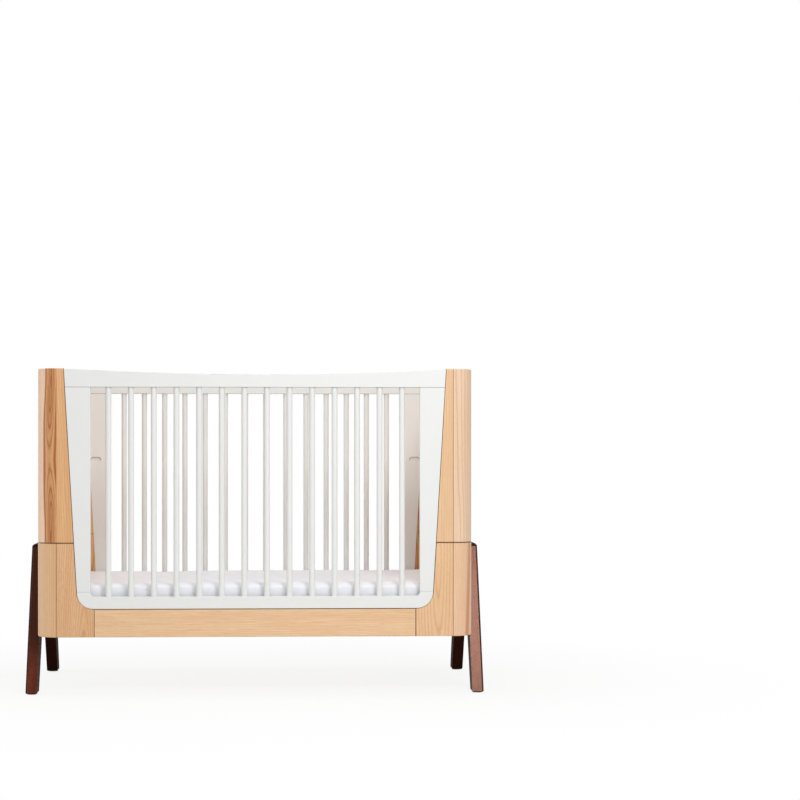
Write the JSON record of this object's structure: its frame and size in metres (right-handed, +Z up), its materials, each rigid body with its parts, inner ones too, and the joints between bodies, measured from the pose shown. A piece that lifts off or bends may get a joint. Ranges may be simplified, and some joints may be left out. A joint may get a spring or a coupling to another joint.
{
  "type": "baby crib",
  "caption": "Baby crib with rounded wooden end units, white barred sides, splayed dark legs, a height-adjustable slatted base and a lift-out mattress.",
  "frame": {"origin": "on the floor, under the middle of the crib", "axes": "+X along the length towards the right end, +Y from the front side frame to the rear one, +Z up"},
  "size_m": [1.414, 0.73, 1.003],
  "materials": {
    "natural_ash": "clear matt lacquer over natural ash, upright cathedral grain",
    "white_lacquer": "satin white lacquer on solid wood",
    "walnut": "dark walnut with satin oil",
    "beech": "plain sanded beech",
    "mattress_ticking": "white knitted cotton ticking",
    "zinc_steel": "zinc plated",
    "white_nylon": "moulded nylon"
  },
  "bodies": {
    "crib_frame": {"cam_bolts": "zinc_steel", "cam_locks": "zinc_steel", "end_dowels": "beech", "foot_glides": "white_nylon", "frame_dowels": "beech", "front_base_ledger": "beech", "front_bottom_rail": "white_lacquer", "front_left_stile": "white_lacquer", "front_right_stile": "white_lacquer", "front_spindles": "white_lacquer", "front_top_rail": "white_lacquer", "front_wood_rail": "natural_ash", "ledger_screws": "zinc_steel", "left_base_ledger": "beech", "left_front_leg": "walnut", "left_leg_rail": "walnut", "left_lower_end_panel": "natural_ash", "left_lower_front_post": "natural_ash", "left_lower_front_wing": "natural_ash", "left_lower_rear_post": "natural_ash", "left_lower_rear_wing": "natural_ash", "left_rear_leg": "walnut", "left_upper_end_panel": "natural_ash", "left_upper_front_post": "natural_ash", "left_upper_front_wing": "natural_ash", "left_upper_rear_post": "natural_ash", "left_upper_rear_wing": "natural_ash", "leg_bolts": "zinc_steel", "leg_dowels": "beech", "leg_inserts": "zinc_steel", "rear_base_ledger": "beech", "rear_bottom_rail": "white_lacquer", "rear_left_stile": "white_lacquer", "rear_right_stile": "white_lacquer", "rear_spindles": "white_lacquer", "rear_top_rail": "white_lacquer", "rear_wood_rail": "natural_ash", "right_base_ledger": "beech", "right_front_leg": "walnut", "right_leg_rail": "walnut", "right_lower_end_panel": "natural_ash", "right_lower_front_post": "natural_ash", "right_lower_front_wing": "natural_ash", "right_lower_rear_post": "natural_ash", "right_lower_rear_wing": "natural_ash", "right_rear_leg": "walnut", "right_upper_end_panel": "natural_ash", "right_upper_front_post": "natural_ash", "right_upper_front_wing": "natural_ash", "right_upper_rear_post": "natural_ash", "right_upper_rear_wing": "natural_ash", "socket_plates": "white_nylon"},
    "mattress_base": {"base_front_rail": "beech", "base_left_rail": "beech", "base_rear_rail": "beech", "base_right_rail": "beech", "base_screws": "zinc_steel", "base_slats": "beech"},
    "mattress": {"mattress": "mattress_ticking"}
  },
  "joints": [
    {"name": "base_height", "type": "slide", "parent": "crib_frame", "child": "mattress_base", "axis": [0, 0, 1], "range_m": [0, 0.44]},
    {"name": "mattress_lift", "type": "slide", "parent": "mattress_base", "child": "mattress", "axis": [0, 0, 1], "range_m": [0, 0.8]}
  ]
}
